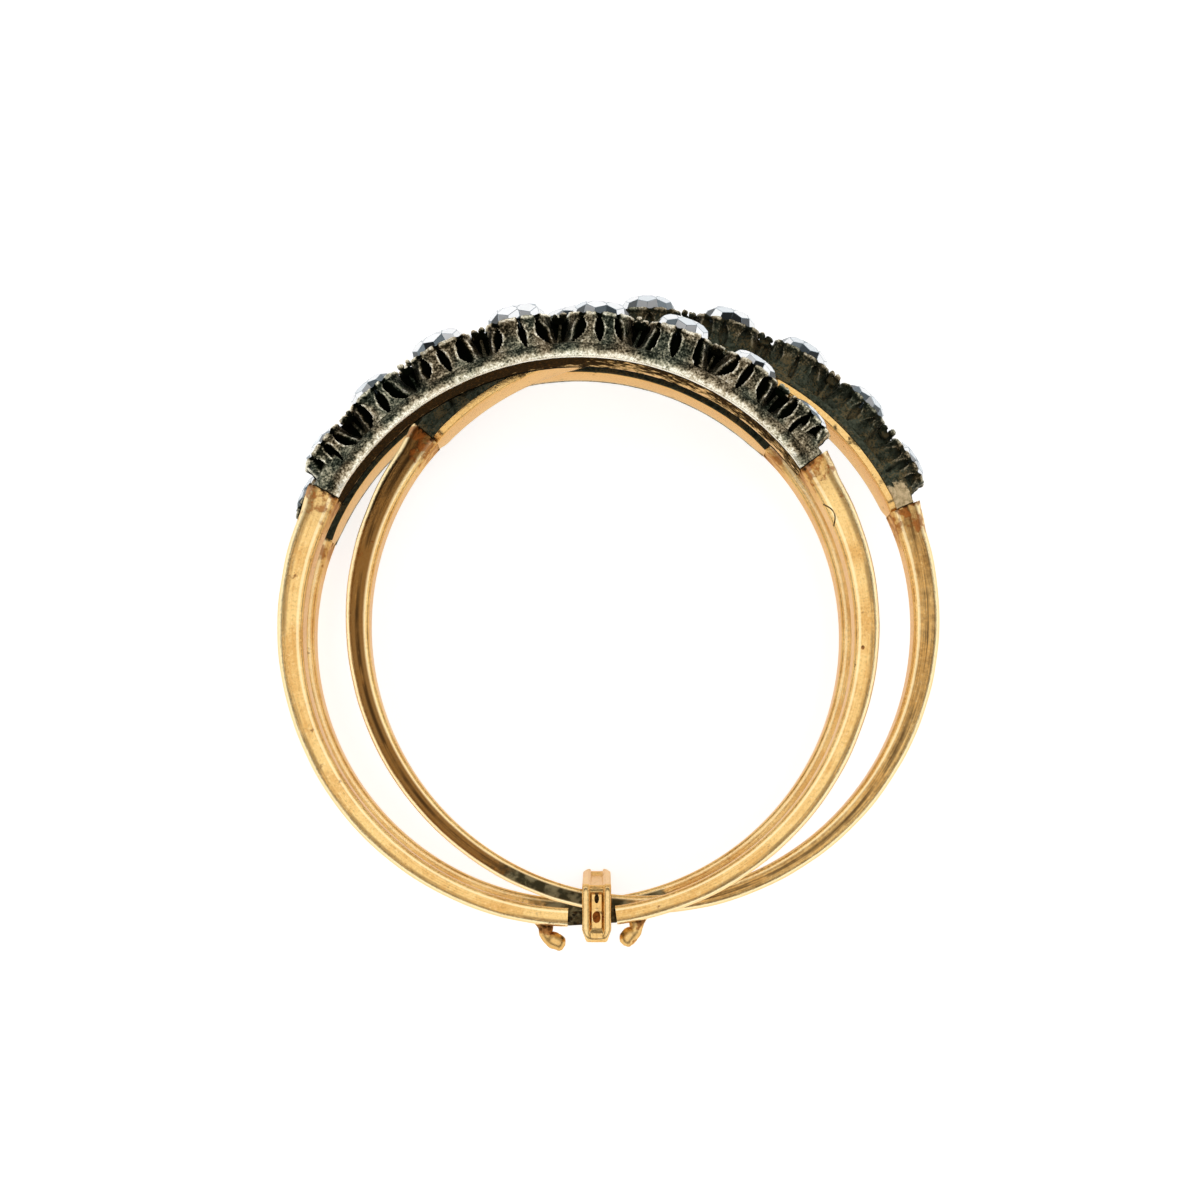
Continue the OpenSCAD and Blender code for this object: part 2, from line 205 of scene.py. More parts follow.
class Shade:
    """A value or colour in a material. Sums and products of values add their Math nodes."""

    def __init__(self, finish, socket):
        self.finish = finish
        self.socket = socket

    def maths(self, operation, a, b=0.0):
        return self.finish.node("ShaderNodeMath", {"operation": operation}, {0: a, 1: b})

    def __add__(self, other):
        return self.maths("ADD", self, other)

    def __radd__(self, other):
        return self.maths("ADD", other, self)

    def __sub__(self, other):
        return self.maths("SUBTRACT", self, other)

    def __rsub__(self, other):
        return self.maths("SUBTRACT", other, self)

    def __mul__(self, other):
        return self.maths("MULTIPLY", self, other)

    def __rmul__(self, other):
        return self.maths("MULTIPLY", other, self)

    def __abs__(self):
        return self.maths("ABSOLUTE", self)

    def rise(self, low, high):
        """0 under low, 1 over high, and smooth between them."""
        return self.finish.node("ShaderNodeMapRange", {"interpolation_type": "SMOOTHSTEP"},
                                {"Value": self, "From Min": low, "From Max": high})


class NodeBench:
    """Where the nodes of a material or of the light are put together."""

    def __init__(self, owner):
        owner.use_nodes = True
        self.tree = owner.node_tree

    def node(self, kind, settings, inputs, out=0):
        """A node of the given type. Its settings come first, then its sockets take values or links."""
        node = self.tree.nodes.new(kind)
        for key, value in settings.items():
            if key == "stops":
                self.set_stops(node.color_ramp, value)
            else:
                setattr(node, key, value)
        for key, value in inputs.items():
            if isinstance(value, Shade):
                self.tree.links.new(value.socket, node.inputs[key])
            else:
                node.inputs[key].default_value = value
        return Shade(self, node.outputs[out])

    def set_stops(self, ramp, stops):
        while len(ramp.elements) < len(stops):
            ramp.elements.new(0.5)
        for element, (position, colour) in zip(ramp.elements, stops):
            element.position = position
            element.color = (*colour, 1)

    def split(self, where):
        """The three parts of a place."""
        first = self.node("ShaderNodeSeparateXYZ", {}, {"Vector": where})
        return [Shade(self, socket) for socket in first.socket.node.outputs]


class Finish(NodeBench):
    """A material under construction."""

    def __init__(self, name, **constants):
        self.material = bpy.data.materials.new(name)
        super().__init__(self.material)
        self.surface = self.tree.nodes["Principled BSDF"]
        for socket, value in constants.items():
            self.surface.inputs[socket.replace("_", " ")].default_value = value

    def feed(self, **links):
        """Sets what changes over the surface, such as Base_Color."""
        for socket, shade in links.items():
            self.tree.links.new(shade.socket, self.surface.inputs[socket.replace("_", " ")])

    def place(self):
        """The point's place on the piece, in millimetres."""
        spot = self.node("ShaderNodeTexCoord", {}, {}, "Object")
        return self.node("ShaderNodeMapping", {}, {"Vector": spot, "Scale": (1 / MM, 1 / MM, 1 / MM)})

    def told(self, name, out="Fac"):
        """A number or place that the mesh carries at each point."""
        return self.node("ShaderNodeAttribute", {"attribute_name": name}, {}, out)

    def cloud(self, where, scale, detail=3.0, roughness=0.5):
        return self.node("ShaderNodeTexNoise", {}, {"Vector": where, "Scale": scale, "Detail": detail,
                                                    "Roughness": roughness})

    def blend(self, share, first, second, how="MIX"):
        kind = {"data_type": "RGBA", "blend_type": how}
        return self.node("ShaderNodeMix", kind, {0: share, 6: first, 7: second}, 2)

    def relief(self, height, depth_mm):
        return self.node("ShaderNodeBump", {}, {"Height": height, "Distance": depth_mm * MM})


def gold_finish(name, shade_and_dirt_left, shade_and_dirt_right, dark_line_at):
    """Rosy gold with drawn lines and pits, pale on its edges from wear and painted highlight, with a painted
    pale line, a painted dark line and painted shade on its face, brown in corners and rusty at the solder.
    """
    rose = (0.67, 0.38, 0.118, 1)
    pale = (0.82, 0.55, 0.215, 1)
    wear_and_highlight = (0.98, 0.82, 0.49, 1)
    brown = (0.15, 0.060, 0.011, 1)
    near_black = (0.010, 0.006, 0.003, 1)
    rust = (0.33, 0.09, 0.015, 1)
    moss = (0.045, 0.045, 0.024, 1)
    lichen = (0.29, 0.255, 0.145, 1)
    finish = Finish(name, Specular_IOR_Level=0.0, Specular_Tint=(0.93, 0.73, 0.49, 1))
    spot = finish.place()
    lay = finish.told("lay", "Vector")
    arc, share, height = finish.split(lay)
    drawn = finish.node("ShaderNodeMapping", {}, {"Vector": lay, "Scale": (0.5, 15, 15)})
    lines = finish.cloud(drawn, 1.0, 4.0, 0.6)
    broad = finish.cloud(spot, 0.7)
    mottle = finish.cloud(spot, 4.0, 5.0, 0.65)
    blotch = finish.cloud(spot, 2.4, 4.0, 0.6)
    grain = finish.cloud(spot, 13.0, 3.0, 0.6)
    face = abs(height).rise(0.5, 0.62)
    outer_edge = share.rise(0.76, 0.86)
    hollow = share.rise(0.16, 0.3) * (1 - outer_edge)
    # A painted dark line along the face at dark_line_at across the shank; the shape has no groove there, so
    # it is a painted dark reflection.
    painted_dark_line = (1 - abs(share - dark_line_at).rise(0.02, 0.14)) * (broad * 1.2 + lines * 0.8).rise(0.78, 1.12)
    # A painted pale line near the inner edge of the face: painted highlight of the inner bevel.
    painted_inner_highlight = 1 - abs(share - 0.2).rise(0.03, 0.07)
    # grime: real grime at the shoulders, lugs, neck, dot and rivet, and painted shade on the front lining,
    # the dent line, the link's hole and its sunk fields.
    grime = (finish.told("grime") + mottle * 0.9 + blotch * 0.7 + broad * 0.3 - 1.13).rise(0.0, 0.25)
    # Painted shade on the face, going from left to right, most on the middle hoop, which lies behind the
    # front one.
    shade_and_dirt = arc.rise(-1, 1) * (shade_and_dirt_left - shade_and_dirt_right) + shade_and_dirt_right
    shade_and_soil = (shade_and_dirt + lines * 0.7 + mottle * 0.5 - 0.9).rise(0.0, 0.5) * face * hollow
    stain = (finish.told("solder") * 0.42 + blotch * 1.5 + mottle * 0.8).rise(1.42, 1.62)
    rusted = finish.told("solder").rise(1.5, 3.0)
    # Green tarnish, dark enough to also paint shade: on the feet of the middle and back hoops, which lie
    # behind the front foot and the link, and on the neck.
    tarnish_and_shade_cover = (finish.told("tarnish") + mottle * 0.9 + face * 0.15).rise(0.95, 1.3) * hollow
    texture = face * 0.55 + 0.45
    paleness = ((broad * 0.6 + lines * 0.4 + mottle * 0.3 - 0.64) * texture).rise(-0.12, 0.12)
    colour = finish.blend(paleness, rose, pale)
    colour = finish.blend(grain.rise(0.56, 0.7) * 0.28, colour, wear_and_highlight)
    colour = finish.blend((1 - grain).rise(0.52, 0.68) * 0.22, colour, brown)
    # Painted highlight along the inner edge of the face.
    colour = finish.blend(painted_inner_highlight * face * 0.6, colour, wear_and_highlight)
    # Pale outer edge, strongest at the rounded corners: wear and painted highlight.
    colour = finish.blend(outer_edge * (0.2 + abs(height).rise(0.33, 0.5) * 0.65), colour, wear_and_highlight)
    # Painted shade on the face in brown, with brown soil patches where the noise peaks.
    colour = finish.blend(shade_and_soil * 0.9, colour, brown)
    # The painted dark reflection line, brown and then near black, darker where the face has more painted
    # shade.
    colour = finish.blend(painted_dark_line * face * 0.5, colour, brown)
    colour = finish.blend(painted_dark_line * face * (0.15 + shade_and_dirt * 0.7), colour, near_black)
    colour = finish.blend(stain * (0.75 + rusted * 0.25), colour, rust)
    colour = finish.blend(tarnish_and_shade_cover * 0.92, colour, finish.blend(blotch.rise(0.42, 0.62), moss, lichen))
    # Near black to brown: the colour of grime, and of the painted shade that shares its mark.
    grime_and_shade_colour = finish.blend(grain.rise(0.5, 0.68) * 0.55, near_black, brown)
    colour = finish.blend(grime * 0.98, colour, grime_and_shade_colour)
    soldered = finish.told("solder").rise(0.0, 0.5)
    skin = (lines * 0.45 + mottle * 0.5 + grain * 0.5) * texture - grime * 0.4 + stain * 0.3
    finish.feed(
        Base_Color=colour,
        Metallic=1 - (grime + stain * 0.3 + tarnish_and_shade_cover + rusted * 0.6).rise(0.0, 1.0),
        Roughness=0.16 + mottle * 0.15 + grime * 0.5 + soldered * 0.12 + tarnish_and_shade_cover * 0.4,
        Normal=finish.relief(skin, 0.025),
    )
    return finish.material


def make_piece(bm, name, body, slot, material, place, *nodes):
    """Puts a finished mesh in its place in the ring, with its finish, body and the solids it stands for."""
    bmesh.ops.transform(bm, matrix=place, verts=bm.verts[:])
    bmesh.ops.recalc_face_normals(bm, faces=bm.faces[:])
    mesh = bpy.data.meshes.new(name)
    bm.to_mesh(mesh)
    bm.free()
    mesh.shade_smooth()
    mesh.set_sharp_from_angle(angle=math.radians(45))
    mesh.materials.append(material)
    piece = bpy.data.objects.new(name, mesh)
    bpy.context.scene.collection.objects.link(piece)
    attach(piece, body)
    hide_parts(*nodes)


# Painted shade on the faces: most on the middle hoop and on its left, some on the back, little on the front.
# The last number places the painted dark line across the face.
gold = {
    "front": gold_finish("front_gold", 0.05, 0.1, 0.71),
    "middle": gold_finish("middle_gold", 0.85, 0.55, 0.5),
    "back": gold_finish("back_gold", 0.4, 0.4, 0.6),
}
for name, hoop in hoops.items():
    hoop["place"] = hoop_place(hoop)
    if name != "front":
        metal = shank(hoop, head_half, 2 * math.pi - head_half, 1.0)
        add_to(metal, lining(hoop, 0.0, 0.0))
        make_piece(metal, name + "_gold", name + "_hoop", "gold", gold[name], hoop["place"],
                   "gold_hoop_" + name)

# Front hoop's foot: the shank stops square on each side of the link, and a thin neck runs through it. A small
# gold lug with a thick round end is soldered under each stop, and rusty solder has run round both. The right
# shank has a small brown pit in its face, and near its shoulder a thin dark rod along the edge of a crescent
# dent, which is painted shade of that edge.
stop_left = 0.9
stop_right = 0.6
neck_t = 0.42
neck_w = 0.7
lug_neck_r = 0.2
lug_knob_r = 0.26
lug_drop = 0.42
lugs = {1: {"root": 1.24, "tip": 0.92}, -1: {"root": 1.64, "tip": 1.28}}
dot_angle = math.radians(-97)
dot_share = 0.26
dot_r = 0.062
dent_from = math.radians(-66.2)
dent_to = math.radians(-71.2)
dent_bulge = 0.18
dent_edge_r = 0.022
dent_steps = 12


def rod(points, radii, sides=20):
    """A bent round rod through the points, as thick at each as its radius says."""
    bm = bmesh.new()
    rings = []
    for k, (point, radius) in enumerate(zip(points, radii)):
        ahead = points[min(k + 1, len(points) - 1)] - points[max(k - 1, 0)]
        place = Matrix.Translation(point) @ ahead.to_track_quat("Z", "Y").to_matrix().to_4x4()
        ring = bmesh.ops.create_circle(bm, segments=sides, radius=radius, matrix=place)["verts"]
        rings.append({e for v in ring for e in v.link_edges})
    for first, second in zip(rings, rings[1:]):
        bmesh.ops.bridge_loops(bm, edges=list(first | second))
    bmesh.ops.holes_fill(bm, edges=[e for e in bm.edges if e.is_boundary], sides=0)
    return bm


def lug(way, root_x, tip_x):
    """One lug, from inside the shank down and back towards the link, where it ends in a slanting knob."""
    under_r = front["bore"] + side_t
    climb = under_r - math.sqrt(under_r ** 2 - root_x ** 2)
    low = -foot_t / 2 - lug_drop
    root = Vector((way * root_x, climb + 0.15 - foot_t / 2, 0))
    bend = Vector((way * (root_x - 0.04), low + 0.24, 0))
    tip = Vector((way * tip_x, low, 0))
    slant = (tip - bend).normalized()
    heel = bend + slant * 0.05
    toe = tip + slant * lug_knob_r
    points = [root, root.lerp(bend, 0.5), root.lerp(bend, 0.85)]
    radii = [lug_neck_r * 1.8, lug_neck_r * 1.25, lug_neck_r * 1.05]
    steps = 11
    swelling = 0.3
    for k in range(steps):
        u = k / (steps - 1)
        points.append(heel.lerp(toe, u))
        if u > swelling:
            radii.append(max(0.03, lug_knob_r * math.sqrt(max(0, 1 - abs(1.9 * (u - 0.5)) ** 2.6))))
        else:
            radii.append(lug_neck_r + (lug_knob_r - lug_neck_r) * u / swelling)
    bm = rod(points, radii)
    for v in bm.verts:
        v.co += v.co.normalized() * (lumps(v.co, 0.3, 0.06) + lumps(v.co, 0.12, 0.03))
    mark(bm, "grime", lambda co: 0.25 * smooth(-foot_t / 2 - 0.15, -foot_t / 2 + 0.05, co.y))
    mark(bm, "solder", lambda co: 0.35 + 0.6 * smooth(low, -foot_t / 2, co.y))
    return bm


front = hoops["front"]
foot_r = front["bore"] + foot_t / 2
metal = shank(front, head_half, math.pi - math.asin(stop_left / foot_r), 0.3)
add_to(metal, shank(front, math.pi + math.asin(stop_right / foot_r), 2 * math.pi - head_half, 0.3))
# The front lining gets painted shade, darkest on its left, standing for the shade under its rail.
add_to(metal, lining(front, 0.8, 0.42))
neck = bmesh.new()
bmesh.ops.create_cube(neck, size=1)
bmesh.ops.scale(neck, vec=(stop_left + stop_right + 0.1, neck_t, neck_w), verts=neck.verts[:])
bmesh.ops.bevel(neck, geom=neck.edges[:], offset=0.08, segments=3, affect="EDGES", profile=0.5, material=-1)
bmesh.ops.translate(neck, vec=((stop_right - stop_left) / 2, -foot_r, 0), verts=neck.verts[:])
# The neck is tarnished green and dark: tarnish and painted shade in the gap of the foot.
mark(neck, "tarnish", lambda co: 1.2)
mark(neck, "grime", lambda co: 0.3)
lay = neck.verts.layers.float_vector.new("lay")
for v in neck.verts:
    v[lay] = (v.co.x, 0.5, 1)
add_to(metal, neck)
for way, size in lugs.items():
    part = lug(way, size["root"], size["tip"])
    bmesh.ops.translate(part, vec=(0, -foot_r, 0), verts=part.verts[:])
    add_to(metal, part)
dot = bmesh.new()
bmesh.ops.create_uvsphere(dot, u_segments=16, v_segments=10, radius=dot_r)
bmesh.ops.scale(dot, vec=(1.1, 0.9, 0.2), verts=dot.verts[:])
bmesh.ops.translate(dot, vec=(0, front["bore"] + dot_share, shank_w / 2), verts=dot.verts[:])
bmesh.ops.rotate(dot, verts=dot.verts[:], cent=(0, 0, 0), matrix=Matrix.Rotation(dot_angle, 3, "Z"))
mark(dot, "solder", lambda co: 1.6)
mark(dot, "grime", lambda co: 0.15)
add_to(metal, dot)
points = []
for k in range(dent_steps + 1):
    bow = math.sin(math.pi * k / dent_steps)
    turn = Matrix.Rotation(dent_from + (dent_to - dent_from) * k / dent_steps, 3, "Z")
    sunk = 0.045 * max(0, 1 - 2.5 * bow) ** 2 + 0.004
    points.append(turn @ Vector((0, front["bore"] + 0.02 + dent_bulge * bow, shank_w / 2 - sunk)))
# A thin rod marked dark: painted shade along the edge of the crescent dent.
dent_shade_line = rod(points, [dent_edge_r] * len(points), sides=8)
mark(dent_shade_line, "grime", lambda co: 0.4)
add_to(metal, dent_shade_line)
make_piece(metal, "front_gold", "front_hoop", "gold", gold["front"], front["place"], "gold_hoop_front")

# Silver heads: a rail over the lining with eight cut-down collets on it, each with three nicks filed in each
# side, and small grains between the stones. The silver has gone black but for what rubs on the next hoop,
# and tan solder has run over the right end of the middle head.
STONES = 8
rail_h = 0.48
web_h = 1.3
web_w = 0.6
end_h = 0.98
end_w = 1.6
girdle_h = 1.36
lip_h = 0.08
lip = girdle_h + lip_h
collet_foot = rail_h - 0.05
collet_w_mid = 2.04
collet_w_end = 1.68
collet_gap = 0.6
collet_taper = 0.88
collet_wall = 0.08
nick_len = 0.95
nick_w = 0.25
nick_fan = math.radians(37)
squareness = 2.7


def collet_w(i):
    u = (i - (STONES - 1) / 2) / ((STONES - 1) / 2)
    return collet_w_mid + (collet_w_end - collet_w_mid) * u * u


def collet_angles(bore):
    """Angle of each collet from the middle of the head, from left to right."""
    pitches = [(collet_w(i) + collet_w(i + 1)) / 2 + collet_gap for i in range(STONES - 1)]
    steps = [pitch / (bore + girdle_h) for pitch in pitches]
    angles = [sum(steps) / 2]
    for step in steps:
        angles.append(angles[-1] - step)
    return angles


def at_head(bore, angle):
    """Turns a part's own frame so that its Z points outwards at that angle of the head."""
    out = Matrix.Rotation(angle, 4, "Z") @ Matrix.Translation((0, bore, 0))
    return out @ Matrix.Rotation(math.radians(-90), 4, "X")


def file_nicks(dice):
    """Three nicks on each side of a collet, none quite like the next: lens-shaped, or blunt at the top."""
    nicks = []
    for side in (math.pi / 2, -math.pi / 2):
        for fan in (-nick_fan, 0, nick_fan):
            length = nick_len * dice.uniform(0.8, 1.1)
            nicks.append({
                "at": side + fan + math.radians(dice.uniform(-5, 5)),
                "h": lip - 0.09 - length / 2 - dice.uniform(-0.03, 0.1),
                "len": length,
                "w": nick_w * dice.uniform(0.8, 1.4),
                "tilt": math.tan(math.radians(dice.uniform(-10, 10))),
                "blunt": dice.choice((1.5, 3, 8)),
            })
    return nicks


def nearest_nick(nicks, round_angle, h, wall_r):
    """How far a point of the wall is from the nearest nick: 1 on its rim, and how far it is at the lip."""
    near = 9.0
    lip_near = 9.0
    for nick in nicks:
        turn = (round_angle - nick["at"] + math.pi) % (2 * math.pi) - math.pi
        across = abs(turn * wall_r - (h - nick["h"]) * nick["tilt"])
        up = (h - nick["h"]) / (nick["len"] / 2)
        lip_near = min(lip_near, across / (nick["w"] / 2))
        if abs(up) < 1:
            swell = 1 - up ** nick["blunt"] if up > 0 else 1 - abs(up) ** 1.5
            near = min(near, across / (nick["w"] / 2 * swell + 0.004))
    return near, lip_near


def collet(width, dice):
    """One collet: a cup with a seat for its stone, a rolled lip and a spreading foot, nicked at the sides."""
    top_r = width / 2
    foot_r = top_r * collet_taper
    stone_r = top_r - collet_wall
    nicks = file_nicks(dice)
    bm = bmesh.new()
    chain = [(0.02, girdle_h - 0.84 * stone_r), (stone_r + 0.01, girdle_h), (stone_r + 0.01, lip - 0.04),
             (stone_r + 0.03, lip), (top_r - 0.02, lip - 0.01), (top_r - 0.01, lip - 0.04),
             (foot_r, collet_foot), (0.02, collet_foot)]
    verts = [bm.verts.new((r, 0, h)) for r, h in chain]
    edges = [bm.edges.new(pair) for pair in zip(verts, verts[1:])]
    wall = edges[5]
    bmesh.ops.subdivide_edges(bm, edges=[wall], cuts=27)
    bmesh.ops.spin(bm, geom=bm.verts[:] + bm.edges[:], cent=(0, 0, 0), axis=(0, 0, 1),
                   angle=2 * math.pi, steps=152, use_merge=True)
    bmesh.ops.holes_fill(bm, edges=[e for e in bm.edges if e.is_boundary], sides=0)
    recess = bm.verts.layers.float.new("recess")
    rub = bm.verts.layers.float.new("rub")
    seed = Vector((dice.uniform(0, 50), dice.uniform(0, 50), 0))
    spread = [dice.uniform(0.17, 0.33), dice.uniform(0.17, 0.33)]
    for v in bm.verts:
        r = radius_of(v.co)
        h = v.co.z
        if r < 0.03 or h > girdle_h - 0.001 and r < stone_r + 0.02:
            v[recess] = 1
            continue
        round_angle = math.atan2(v.co.y, v.co.x)
        wall_r = foot_r + (top_r - foot_r) * (h - collet_foot) / (lip - collet_foot)
        near, lip_near = nearest_nick(nicks, round_angle, h, wall_r)
        cut = smooth(1.12, 0.6, near)
        top = smooth(lip - 0.2, lip - 0.06, h)
        notch = smooth(0.9, 0.2, lip_near) * top
        across, along = abs(math.sin(round_angle)), abs(math.cos(round_angle))
        square = (across ** squareness + along ** squareness) ** (-1 / squareness)
        flank = smooth(0.95, 1.0, along)
        push = (0.1 * smooth(0.75, collet_foot, h) + 0.05 * top - 0.25 * cut - 0.05 * notch
                + lumps(v.co + seed, 0.33, 0.05) + lumps(v.co + seed, 0.1, 0.025))
        set_radius(v.co, r * square + push)
        spreading = (1 - (h - collet_foot) / (lip - collet_foot)) * smooth(0.3, 0.8, along)
        v.co.x += math.copysign(spread[v.co.x > 0] * spreading, v.co.x)
        v.co.z -= 0.04 * notch + lumps(v.co + seed, 0.2, 0.04) * top
        v[recess] = max(cut, 0.9 * flank * smooth(0.6, 0.9, h) * (1 - top), 0.5 * notch)
        v[rub] = max(smooth(2.0, 1.15, near) * (1 - cut), 0.95 * top * (1 - notch),
                     0.8 * smooth(0.78, 0.9, along), 0.48 + 0.17 * smooth(0.85, 0.55, h))
    return bm


def silver_finish(name, painted_light_offset, film_and_shade):
    """Silver gone black: green-black in the nicks, with grey and brown films, worn light on its edges. Its
    light offset and its film also paint shade, darkening the heads that lie behind the front one.
    """
    finish = Finish(name, Specular_IOR_Level=0.0)
    spot = finish.place()
    films = finish.cloud(spot, 1.8, 3.0, 0.6)
    speckle = finish.cloud(spot, 7.0, 6.0, 0.7)
    crumbs = finish.cloud(spot, 17.0, 2.0, 0.5)
    hue = finish.cloud(spot, 0.9, 2.0)
    tone = (finish.told("rub") - finish.told("recess") * 1.3 + films * 0.9 + speckle * 1.2 + crumbs * 1.1
            - 1.8 + painted_light_offset)
    cool = finish.node("ShaderNodeValToRGB", {"stops": [
        (0.0, (0.0015, 0.0025, 0.0010)), (0.2, (0.008, 0.011, 0.006)), (0.4, (0.062, 0.072, 0.052)),
        (0.58, (0.22, 0.22, 0.15)), (0.75, (0.50, 0.47, 0.33)), (1.0, (0.92, 0.89, 0.74))]}, {"Fac": tone})
    warm = finish.node("ShaderNodeValToRGB", {"stops": [
        (0.0, (0.002, 0.002, 0.001)), (0.2, (0.010, 0.008, 0.003)), (0.4, (0.08, 0.060, 0.033)),
        (0.58, (0.28, 0.22, 0.135)), (0.75, (0.56, 0.47, 0.32)), (1.0, (0.92, 0.86, 0.70))]}, {"Fac": tone})
    green_black = (0.022, 0.027, 0.016, 1)
    green_grey = (0.080, 0.090, 0.062, 1)
    olive = (0.19, 0.135, 0.06, 1)
    tan = (0.34, 0.24, 0.11, 1)
    pale_tan = (0.78, 0.60, 0.35, 1)
    colour = finish.blend(hue.rise(0.36, 0.64), cool, warm)
    film_and_shade_cover = film_and_shade * (1 - finish.told("high")) * (0.55 + speckle * 0.9).rise(0.5, 0.9)
    skin = finish.blend(speckle.rise(0.35, 0.62), green_black, green_grey)
    skin = finish.blend((films * 0.6 + crumbs * 0.5).rise(0.54, 0.64) * 0.7, skin, olive)
    run = (finish.told("solder") + speckle * 1.2 + films * 0.6 - 1.25).rise(0.25, 0.5)
    solder = finish.blend((speckle * 0.7 + films * 0.3).rise(0.36, 0.6), tan, pale_tan)
    finish.feed(
        Base_Color=finish.blend(run * 0.92, finish.blend(film_and_shade_cover, colour, skin), solder),
        Metallic=(tone.rise(0.05, 0.4) * (1 - film_and_shade_cover)) * 0.9 + 0.1,
        Roughness=0.56 - tone.rise(0.3, 0.9) * 0.32 + film_and_shade_cover * 0.1,
        Normal=finish.relief(speckle * 0.7 + films * 0.3 + crumbs * 0.4, 0.035),
    )
    return finish.material


def head_band(hoop, rubbed_side):
    """The rail, with cheeks down its sides where the lining is narrower, the web on it and its solid ends."""
    bore = hoop["bore"]
    half_w = head_w / 2
    inner = half_w - cheek_w
    low = bore + lining_t + 0.02
    top = bore + rail_h
    end = head_half - math.radians(0.2)
    if hoop["lining_w"] < head_w:
        section = [(bore, -half_w, 0.04), (top, -half_w, 0.2), (top, half_w, 0.2), (bore, half_w, 0.04),
                   (bore, inner, 0), (low, inner, 0), (low, -inner, 0), (bore, -inner, 0)]
    else:
        section = [(low, -half_w, 0.02), (top, -half_w, 0.18), (top, half_w, 0.18), (low, half_w, 0.02)]
    bm = sweep(section, -end, end, steps=150)

    def rubbed(co):
        change = 0.55 if co.z * rubbed_side > 0.5 else -0.6
        return 0.52 + smooth(0.16, 0.06, radius_of(co) - bore) * change

    mark(bm, "rub", rubbed)
    mark(bm, "recess", lambda co: 0.0)
    for v in bm.verts:
        near_end = smooth(end - math.radians(4), end, abs(angle_of(v.co)))
        v.co.z *= 1 - 0.2 * near_end
        v.co.z += lumps(v.co, 0.5, 0.03)
    angles = collet_angles(bore)
    root = top - 0.05
    section = [(root, -web_w / 2, 0), (bore + web_h, -web_w / 2, 0.15), (bore + web_h, web_w / 2, 0.15),
               (root, web_w / 2, 0)]
    web = sweep(section, angles[-1], angles[0], steps=220)
    for v in web.verts:
        set_radius(v.co, radius_of(v.co) + lumps(v.co, 0.16, 0.12))
    mark(web, "recess", lambda co: 1.0 - 0.6 * smooth(web_h - 0.1, web_h + 0.02, radius_of(co) - bore))
    add_to(bm, web)
    section = [(root, -end_w / 2, 0), (bore + end_h, -end_w / 2, 0.3), (bore + end_h, end_w / 2, 0.3),
               (root, end_w / 2, 0)]
    for first, last in ((angles[0], end), (-end, angles[-1])):
        lump = sweep(section, first, last, steps=12)
        for v in lump.verts:
            near_end = smooth(end - math.radians(2.5), end, abs(angle_of(v.co)))
            droop = 0.2 * near_end * (radius_of(v.co) - top)
            set_radius(v.co, radius_of(v.co) - droop + lumps(v.co, 0.25, 0.08))
        mark(lump, "rub", lambda co: 0.62)
        mark(lump, "recess", lambda co: 0.0)
        add_to(bm, lump)
    return bm


def rib_between(bore, angle, dice):
    """A thin rib of silver that stands in the gap between two collets, on each side of the web."""
    bm = bmesh.new()
    for side in (-1, 1):
        lean = dice.uniform(-0.1, 0.1)
        z = side * dice.uniform(0.5, 0.68)
        foot = Vector((lean, z * 1.2, rail_h - 0.05))
        tip = Vector((-lean, z, girdle_h - 0.06))
        points = [foot, foot.lerp(tip, 0.35), foot.lerp(tip, 0.7), tip]
        part = rod(points, [0.1, 0.05, 0.05, 0.08], sides=10)
        mark(part, "rub", lambda co: 0.5 + 0.3 * smooth(1, girdle_h, co.z))
        mark(part, "recess", lambda co: 0.1)
        add_to(bm, part)
    bmesh.ops.transform(bm, matrix=at_head(bore, angle), verts=bm.verts[:])
    return bm


def grains_between(bore, angle, dice):
    """Two uneven rows of small silver grains between two stones, on the narrow bar that joins the collets."""
    bm = bmesh.new()
    bmesh.ops.create_cube(bm, size=1)
    bmesh.ops.scale(bm, vec=(0.34, 1.7, 0.22), verts=bm.verts[:])
    bmesh.ops.bevel(bm, geom=bm.edges[:], offset=0.07, segments=2, affect="EDGES", profile=0.5, material=-1)
    bmesh.ops.translate(bm, vec=(0, 0, girdle_h - 0.18), verts=bm.verts[:])
    mark(bm, "rub", lambda co: 0.3)
    mark(bm, "recess", lambda co: 0.3)
    for row in (-0.11, 0.11):
        for side in (-0.82, -0.62, -0.4, -0.2, 0, 0.2, 0.4, 0.6, 0.82):
            grain = bmesh.new()
            bmesh.ops.create_icosphere(grain, subdivisions=2, radius=dice.uniform(0.07, 0.12))
            shift = Vector((row + dice.uniform(-0.05, 0.05), side + dice.uniform(-0.05, 0.05),
                            girdle_h + dice.uniform(-0.1, 0.06)))
            for v in grain.verts:
                v.co += v.co.normalized() * lumps(v.co + shift * 9, 0.1, 0.05)
            bmesh.ops.translate(grain, vec=shift, verts=grain.verts[:])
            mark(grain, "rub", lambda co: 0.35 + 0.7 * smooth(girdle_h - 0.08, girdle_h + 0.08, co.z))
            mark(grain, "recess", lambda co: 0.1)
            add_to(bm, grain)
    bmesh.ops.transform(bm, matrix=at_head(bore, angle), verts=bm.verts[:])
    return bm


def solder_run(co, bore):
    """How far solder covers a point: it is on the right end of a head, and not on top of its collets."""
    at_end = smooth(run_half, run_half + 0.1, -angle_of(co))
    return at_end * smooth(1.0, 0.75, radius_of(co) - bore)


rubbed_sides = {"front": 1, "middle": 0, "back": -1}
solder_runs = {"front": 0.0, "middle": 1.0, "back": 0.0}
run_half = head_half - math.radians(8.5)
